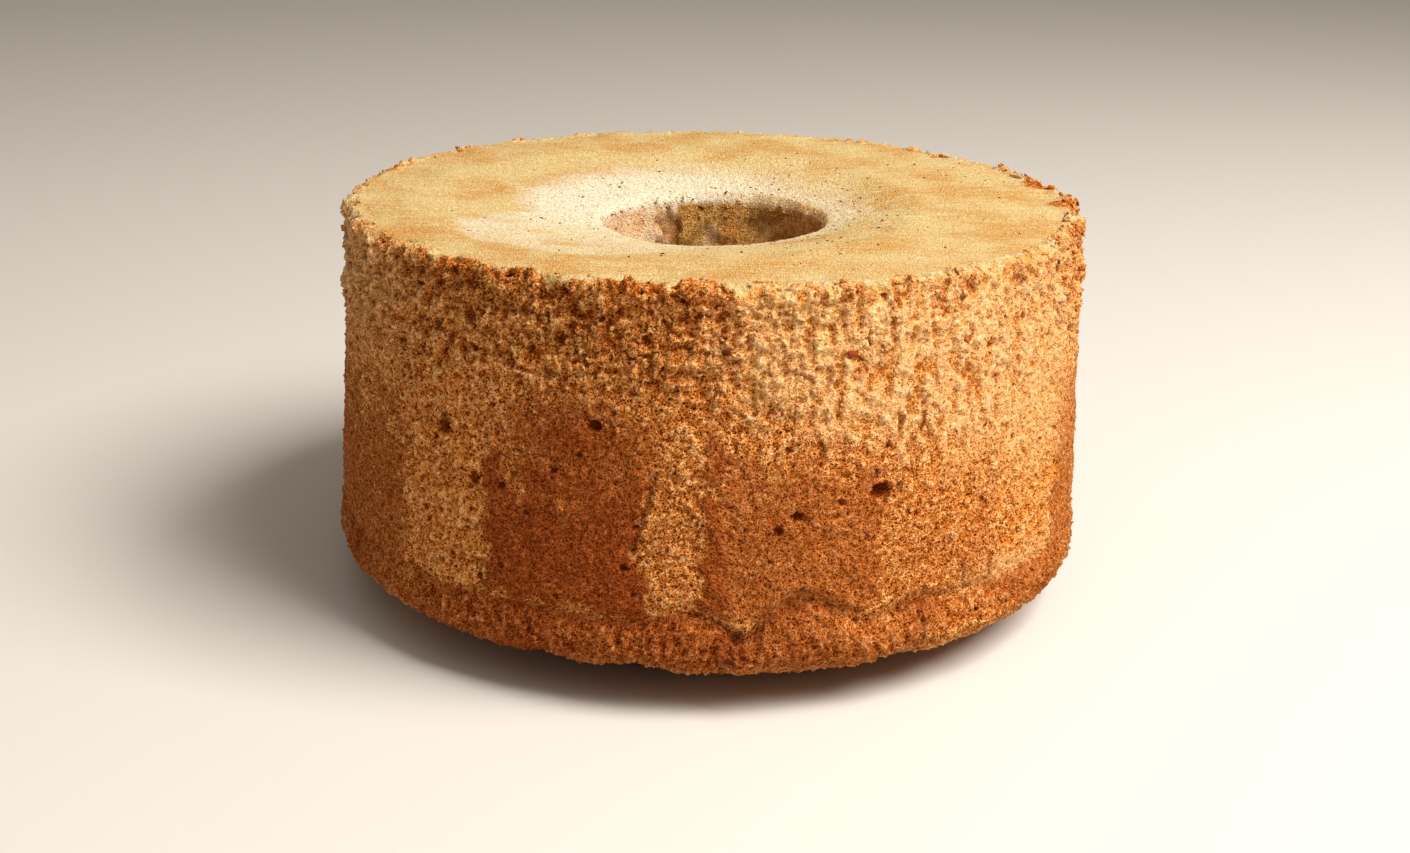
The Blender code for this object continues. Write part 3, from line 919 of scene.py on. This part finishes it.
def split_body(body):
    """Cuts the body into pieces of under 200,000 triangles each, along lines that their points share."""
    pieces = []
    for name, zone, left, right in (
        ("side_front", SIDE, -60, 60),
        ("side_right", SIDE, 60, 181),
        ("side_left", SIDE, -181, 181),
        ("top", TOP, -181, 181),
    ):
        angle = at_faces(body.data, "angle")
        chosen = (at_faces(body.data, "zone") == zone) & (angle >= left) & (angle < right)
        pieces.append(split_off(body, name, chosen))
    body.name = body.data.name = "hole_and_underside"
    return pieces + [body]


def add_node(tree, kind, inputs=None, out=0, **settings):
    """A shader node with its settings, whose inputs are values or other nodes' outputs. Gives one output."""
    node = tree.nodes.new(f"ShaderNode{kind}")
    for key, value in settings.items():
        setattr(node, key, value)
    for key, value in (inputs or {}).items():
        if isinstance(value, bpy.types.NodeSocket):
            tree.links.new(value, node.inputs[key])
        elif node.inputs[key].type == "RGBA":
            node.inputs[key].default_value = (*value, 1)
        else:
            node.inputs[key].default_value = value
    return node.outputs[out]


# Settings that many nodes share. A mix of colours has its share at input 0 and its colours at 6 and 7
MIX = {"data_type": "RGBA", "out": 2}
SOFT = {"interpolation_type": "SMOOTHSTEP"}
ADD_PART = {"operation": "MULTIPLY_ADD"}
TIMES = {"operation": "MULTIPLY"}


def new_material(name, **inputs):
    """A matt material with the shader's inputs as given, and its shader."""
    material = bpy.data.materials.new(name)
    material.use_nodes = True
    shader = material.node_tree.nodes["Principled BSDF"]
    for key, value in ({"IOR": 1.4, "Specular IOR Level": 0.08} | inputs).items():
        shader.inputs[key].default_value = value
    return material, shader


def crumb_pattern(add, form, mark, place):
    """The crumb's height: torn clumps and curls of many sizes, thin curled cell walls among them, and the
    surface's relief. Gives that, and the shares of painted shade, deep in pores and hollows, and of painted
    highlight, on ridges."""
    curl = add("TexNoise", {"Vector": place, "Scale": 1 / CURL_WIDTH, "Detail": 1}, out="Color")
    warped = add("VectorMath", {0: curl, 1: (CURL_WIDTH,) * 3, 2: place}, **ADD_PART)
    cells = {"Vector": warped, "Scale": 1 / (0.62 * form.crumb_size)}
    wall = add("TexVoronoi", cells, feature="DISTANCE_TO_EDGE", out="Distance")
    wall = add("MapRange", {"Value": wall, "From Min": 0.28, "From Max": 0})
    clumps = {"Vector": place, "Scale": 1 / (0.75 * form.crumb_size), "Detail": 2, "Roughness": 0.9}
    net = add("Math", {0: mark["relief"], 1: 0.36, 2: add("TexNoise", clumps)}, **ADD_PART)
    net = add("Math", {0: wall, 1: 0.34, 2: net}, **ADD_PART)
    # Painted shade: towards the tone of the pores where the net is low, and in pores, air holes, cracks and
    # gaps
    deep = add("MapRange", {"Value": net, "From Min": 0.64, "From Max": 0.46}, **SOFT)
    deep = add("Math", {0: deep, 1: mark["pore"]}, operation="MAXIMUM")
    # Painted highlight: towards the tone of the ridges where the net is high
    light = add("MapRange", {"Value": net, "From Min": 0.72, "From Max": 1}, **SOFT)
    return net, deep, light


def side_colour(add, colours, mark, deep, light, net):
    """The side: skin over crumb, crust, torn crumb and pits, all with lighter ridges that take a painted
    highlight and pores darkened with painted shade.
    """
    # Where the skin thins out, its ridges are bare first
    low = add("Math", {0: 0.63, 1: net}, operation="SUBTRACT")
    thin = add("MapRange", {"Value": mark["skin"], "From Min": 0.62, "From Max": 0.25})
    low = add("Math", {0: low, 1: thin}, **TIMES)
    low = add("Math", {0: low, 1: mark["skin"]}, **TIMES)
    skin = add("Math", {0: low, 1: 6, 2: mark["skin"]}, use_clamp=True, **ADD_PART)

    tones = {}
    for tone in TONES:
        tones[tone] = getattr(colours, f"crumb_{tone}")
        for finish in list(FINISHES)[1:]:
            share = skin if finish == "skin" else mark[finish]
            over = getattr(colours, f"{finish}_{tone}")
            tones[tone] = add("Mix", {0: share, 6: tones[tone], 7: over}, **MIX)
    side = add("Mix", {0: deep, 6: tones["mid"], 7: tones["deep"]}, **MIX)
    side = add("Mix", {0: light, 6: side, 7: tones["light"]}, **MIX)
    # The crease colour, darker in the pores, over the crease mark: partly darker skin along the fold, partly
    # painted shade in it, in the V below it and in the gaps of the hole's wall
    dark = add("Mix", {0: deep, 6: colours.crease, 7: colours.skin_deep}, **MIX)
    creased = add("Math", {0: mark["crease"], 1: 0.5}, **TIMES)
    return add("Mix", {0: creased, 6: side, 7: dark}, **MIX)


def top_colour(add, colours, mark, deep, light, place):
    """The top: blotches a few centimetres wide, fine scratches along X, cream where the skin is gone, and on
    its grain painted shade in the pores and a painted highlight on the ridges.
    """
    blotch = add("TexNoise", {"Vector": place, "Scale": 1 / BLOTCH_WIDTH, "Detail": 4})
    drawn = add("Mapping", {"Vector": place, "Scale": (0.13, 1, 1)})
    scratches = {"Vector": drawn, "Scale": 1 / SCRATCH_WIDTH, "Detail": 3, "Roughness": 0.6}
    baked = add("Math", {0: add("TexNoise", scratches), 1: 0.6, 2: blotch}, **ADD_PART)
    baked = add("MapRange", {"Value": baked, "From Min": 0.66, "From Max": 1}, **SOFT)
    # Honey as painted shade in the pores, and cream as a painted highlight on the ridges
    painted_pore_shade = add("Math", {0: deep, 1: 0.8}, **TIMES)
    painted_ridge_highlight = add("Math", {0: light, 1: 0.7}, **TIMES)
    top = colours.golden
    for share, over in (
        (baked, colours.honey),
        (mark["cream"], colours.cream),
        (painted_pore_shade, colours.honey),
        (painted_ridge_highlight, colours.cream),
    ):
        top = add("Mix", {0: share, 6: top, 7: over}, **MIX)
    return top


def sponge_material(form, colours):
    """Baked chiffon sponge: an airy crumb whose torn cell walls make a fine light net, with a painted
    highlight, over pores darkened with painted shade, under a thin browned skin of the same grain, and pale
    where the crumb is torn open."""
    scatter = {"Subsurface Weight": 0.1, "Subsurface Radius": (1, 0.55, 0.25), "Subsurface Scale": 1.2 * MM}
    material, shader = new_material("baked_chiffon_sponge", Roughness=0.85, **scatter)
    tree = material.node_tree
    add = partial(add_node, tree)
    mark = {name: add("Attribute", attribute_name=name, out="Fac") for name in MARKS}
    place = add("TexCoord", out="Object")
    net, deep, light = crumb_pattern(add, form, mark, place)
    side = side_colour(add, colours, mark, deep, light, net)
    top = top_colour(add, colours, mark, deep, light, place)
    colour = add("Mix", {0: mark["golden"], 6: side, 7: top}, **MIX)
    bumps = add("Bump", {"Height": net, "Distance": GRAIN_HEIGHT, "Strength": 1})
    tree.links.new(colour, shader.inputs["Base Color"])
    tree.links.new(bumps, shader.inputs["Normal"])
    return material


def plain_material(name, roughness, colour):
    """A material of one colour."""
    return new_material(name, **{"Roughness": roughness, "Base Color": (*colour, 1)})[0]


def crumb_shape(length, width, thickness, bend, dent):
    """One crumb, about 1 across before it is sized: a ball drawn out, dented and bent. Gives its points, the
    corners of its triangles and their places on its map."""
    deselect_all()
    bpy.ops.mesh.primitive_uv_sphere_add(segments=6, ring_count=4, radius=0.5)
    crumb = bpy.context.object
    bpy.ops.object.mode_set(mode="EDIT")
    bpy.ops.mesh.select_all(action="SELECT")
    bpy.ops.transform.resize(value=(length, width, thickness))
    bpy.ops.mesh.quads_convert_to_tris()
    bpy.ops.object.mode_set(mode="OBJECT")
    displace(crumb, "dents", "CLOUDS", dent, "", noise_scale=0.6, noise_depth=0)
    curl = crumb.modifiers.new("curl", "SIMPLE_DEFORM")
    curl.deform_method = "BEND"
    curl.deform_axis = "Y"
    curl.angle = math.radians(bend)
    bpy.ops.object.modifier_apply(modifier="curl")
    points = read(crumb.data, "co")
    corners = pull(crumb.data.loops, "vertex_index", kind=int).reshape(-1, 3)
    spread = pull(crumb.data.uv_layers[0].data, "uv", 2).reshape(-1, 3, 2)
    bpy.data.objects.remove(crumb)
    return points, corners, spread


def strew(name, shapes, surface, marks, chosen, sizes, lean, sink, draw):
    """Copies of crumbs at chosen points of the surface, joined as one piece, with the marks of those points.
    Each lies along the surface, turned by up to lean degrees from upright, sunk by a share of its size."""
    count = len(chosen)
    normal = surface.normals[chosen]
    up = np.where(np.abs(normal[:, 2:]) < 0.7, [[0, 0, 1]], [[1, 0, 0]])
    across = np.cross(up, normal)
    across /= np.linalg.norm(across, axis=1)[:, None]
    up = np.cross(normal, across)
    turn = np.radians(draw.uniform(-lean, lean, count))[:, None]
    along = up * np.cos(turn) + across * np.sin(turn)
    frames = np.stack([along, np.cross(normal, along), normal], axis=1)
    places = surface.places[chosen] - normal * (sizes * sink)[:, None]
    kinds = draw.integers(0, len(shapes), count)
    grid = math.ceil(math.sqrt(count))
    cells = np.stack([np.arange(count) % grid, np.arange(count) // grid], axis=-1)
    corners, faces, spread, owners, start = [], [], [], [], 0
    for kind, (shape, triangles, layout) in enumerate(shapes):
        mine = np.flatnonzero(kinds == kind)
        moved = np.einsum("nj,kji->kni", shape, frames[mine]) * sizes[mine, None, None] + places[mine, None, :]
        corners.append(moved.reshape(-1, 3))
        steps = start + np.arange(len(mine)) * len(shape)
        faces.append((triangles[None] + steps[:, None, None]).reshape(-1, 3))
        spread.append(((cells[mine][:, None, None] + 0.06 + 0.88 * layout[None]) / grid).reshape(-1, 2))
        owners.append(np.repeat(mine, len(shape)))
        start += len(mine) * len(shape)
    mesh = bpy.data.meshes.new(name)
    mesh.from_pydata(np.concatenate(corners), [], np.concatenate(faces))
    mesh.uv_layers.new(name="OFBake").data.foreach_set("uv", np.concatenate(spread).ravel())
    piece = bpy.data.objects.new(name, mesh)
    bpy.context.scene.collection.objects.link(piece)
    owner = chosen[np.concatenate(owners)]
    for mark, values in marks.items():
        write(mesh, mark, values[owner])
    mesh.shade_smooth()
    return piece


def take(draw, weights, count):
    """count points drawn at random, each with a chance that goes with its weight."""
    return draw.choice(len(weights), size=count, replace=False, p=weights / weights.sum())


def random_sizes(draw, small, large, count):
    """Sizes between two lengths in millimetres, most of them near the small one."""
    return (small + (large - small) * draw.random(count) ** 2) * MM


def dress(piece, material=None):
    """Gives a piece its material, unless it has one, and tells the frame that it belongs to the cake."""
    if material:
        piece.data.materials.append(material)
    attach(piece, "root")
    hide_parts("cake")


class CAKE_OT_body(bpy.types.Operator):
    """Models the whole cake and cuts it into its pieces"""

    bl_idname = "cake.body"
    bl_label = "Cake body"

    def execute(self, context):
        form = context.scene.cake_form
        body = turned_body(section(form))
        shape_forms(form, body)
        mark_finish(form, body)
        roughen(form, body)
        lay_map(body)
        body.data.materials.clear()
        body.data.materials.append(sponge_material(form, context.scene.cake_colours))
        body.data.shade_smooth()
        for piece in split_body(body):
            fit_map(piece)
            dress(piece)
        return {"FINISHED"}


class CAKE_OT_crumbs(bpy.types.Operator):
    """Strews the crumbs that stand off the side, the rim and the lip of the hole"""

    bl_idname = "cake.crumbs"
    bl_label = "Standing crumbs"

    def execute(self, context):
        draw = np.random.default_rng(7)
        at = Surface(BODY_PIECES, MARKS)
        skin, rust, pale, pits, golden = (at.marks[name] for name in ("skin", "rust", "pale", "pits", "golden"))
        crumbs, flakes = ([crumb_shape(*shape) for shape in shapes] for shapes in (CRUMB_SHAPES, FLAKE_SHAPES))
        curls = at.side * (at.z > 4) * (0.25 + at.above(50, 25)) * (1 - 0.75 * skin)
        curls *= (1 - 0.8 * golden) * (1 - 0.8 * pale)
        torn_off = at.side * at.near(70, 26) * at.facing(-12, 42) * (1 - skin)
        rim = bump(at.down, 3) * (1 - 0.85 * at.calm)
        lip = (np.abs(at.radius - context.scene.cake_form.mouth_radius / MM) < 1.2) * (at.z > 76) * 1
        for name, shapes, weights in (
            ("side_crumbs", crumbs, curls),
            ("side_flakes", flakes, torn_off),
            ("rim_crumbs", crumbs, rim),
            ("lip_crumbs", crumbs, lip),
        ):
            count, small, large, lean, painted_highlight, crust = CRUMBS[name]
            marks = at.marks | {
                "relief": np.full(len(at.z), painted_highlight),
                "rust": np.maximum(rust, crust),
                "pits": pits * (1 - crust),
                "golden": golden * 0.3,
            }
            chosen = take(draw, weights, count)
            sizes = random_sizes(draw, small, large, count)
            piece = strew(name, shapes, at, marks, chosen, sizes, lean, CRUMB_SINK, draw)
            dress(piece, bpy.data.materials["baked_chiffon_sponge"])
        return {"FINISHED"}


class CAKE_OT_specks(bpy.types.Operator):
    """Strews the dark specks of the top and the reddish flecks of the upper side"""

    bl_idname = "cake.specks"
    bl_label = "Specks and flecks"

    def execute(self, context):
        draw = np.random.default_rng(11)
        colours = context.scene.cake_colours
        at = Surface(BODY_PIECES, ("cream",))
        shapes = [crumb_shape(*shape) for shape in SPECK_SHAPES]
        right = smooth((at.places[:, 0] / MM + 5) / 25)
        on_top = at.top * (at.down < -5) * (0.12 + 0.9 * at.marks["cream"] + 0.5 * right)
        specks = take(draw, on_top, SPECK_COUNT)
        speck_sizes = random_sizes(draw, 0.25, 0.75, SPECK_COUNT)
        flecks = []
        for turn, height, _ in RED_FLECKS:
            away = np.hypot(turned_by(at.angle, turn) * DEGREE, at.z - height)
            flecks.append(np.argmin(np.where(at.side, away, np.inf)))
        fleck_sizes = np.array([length / LONGEST_SPECK * MM for _, _, length in RED_FLECKS])
        # Overbaked crumb is near black and matt, and caramelised sugar is reddish with a little more sheen
        for name, chosen, sizes, material in (
            ("dark_specks", specks, speck_sizes, ("dark_baked_speck", 0.7, colours.speck)),
            ("red_flecks", np.array(flecks), fleck_sizes, ("caramelised_fleck", 0.6, colours.fleck)),
        ):
            piece = strew(name, shapes, at, {}, chosen, sizes, 180, SPECK_SINK, draw)
            dress(piece, plain_material(*material))
        return {"FINISHED"}


class CAKE_OT_stage(bpy.types.Operator):
    """Makes the plain floor, the studio light and the camera"""

    bl_idname = "cake.stage"
    bl_label = "Stage"

    def execute(self, context):
        deselect_all()
        bpy.ops.mesh.primitive_plane_add(size=FLOOR_WIDTH, location=(0, 0, FLOOR_LEVEL))
        floor = bpy.context.object
        floor.name = "floor"
        # Matt card: a plain pale ground that shows only soft shadows
        floor.data.materials.append(plain_material("matt_studio_floor", 0.7, linear(FLOOR_COLOUR)))
        world = bpy.data.worlds.new("studio")
        context.scene.world = world
        world.use_nodes = True
        sky = world.node_tree.nodes["Background"]
        sky.inputs["Color"].default_value = (*linear(SKY_COLOUR), 1)
        sky.inputs["Strength"].default_value = SKY_STRENGTH
        for name, azimuth, elevation, size, power, colour in LIGHTS:
            turn, rise = math.radians(azimuth), math.radians(elevation)
            aim = Vector((math.sin(turn) * math.cos(rise), -math.cos(turn) * math.cos(rise), math.sin(rise)))
            bpy.ops.object.light_add(type="AREA", location=aim * LIGHT_DISTANCE + Vector(LIGHT_AIM))
            lamp = bpy.context.object
            lamp.name = name
            lamp.data.size = size
            lamp.data.energy = power
            lamp.data.color = linear(colour)
            lamp.rotation_euler = (-aim).to_track_quat("-Z", "Y").to_euler()
        bpy.ops.object.camera_add(location=CAMERA_PLACE)
        camera = bpy.context.object
        camera.name = "photo_camera"
        camera.data.sensor_width = SENSOR_WIDTH
        camera.data.lens = FOCAL_PIXELS * SENSOR_WIDTH / FRAME_WIDTH
        camera.data.clip_start = 0.01
        tilt = Matrix.Rotation(math.radians(90 - CAMERA_DOWN), 3, "X")
        camera.rotation_euler = (tilt @ Matrix.Rotation(math.radians(CAMERA_ROLL), 3, "Z")).to_euler()
        context.scene.camera = camera
        context.scene.view_settings.view_transform = "Standard"
        return {"FINISHED"}


class CAKE_PT_panel(bpy.types.Panel):
    """The cake's operators and settings"""

    bl_idname = "CAKE_PT_panel"
    bl_label = "Chiffon cake"
    bl_space_type = "VIEW_3D"
    bl_region_type = "UI"
    bl_category = "Cake"

    def draw(self, context):
        for operator in OPERATORS:
            self.layout.operator(operator.bl_idname)
        for group in (context.scene.cake_form, context.scene.cake_colours):
            for name in group.__annotations__:
                self.layout.prop(group, name)


OPERATORS = (CAKE_OT_body, CAKE_OT_crumbs, CAKE_OT_specks, CAKE_OT_stage)
CLASSES = (CakeForm, CakeColours, *OPERATORS, CAKE_PT_panel)


def register():
    """Registers the classes and hangs the settings on the scene."""
    for cls in CLASSES:
        bpy.utils.register_class(cls)
    bpy.types.Scene.cake_form = bpy.props.PointerProperty(type=CakeForm)
    bpy.types.Scene.cake_colours = bpy.props.PointerProperty(type=CakeColours)


def unregister():
    """Takes the settings and the classes away again."""
    del bpy.types.Scene.cake_colours
    del bpy.types.Scene.cake_form
    for cls in reversed(CLASSES):
        bpy.utils.unregister_class(cls)


def main():
    """Makes everything in order."""
    register()
    bpy.ops.cake.body()
    bpy.ops.cake.crumbs()
    bpy.ops.cake.specks()
    bpy.ops.cake.stage()


if __name__ == "__main__":
    main()
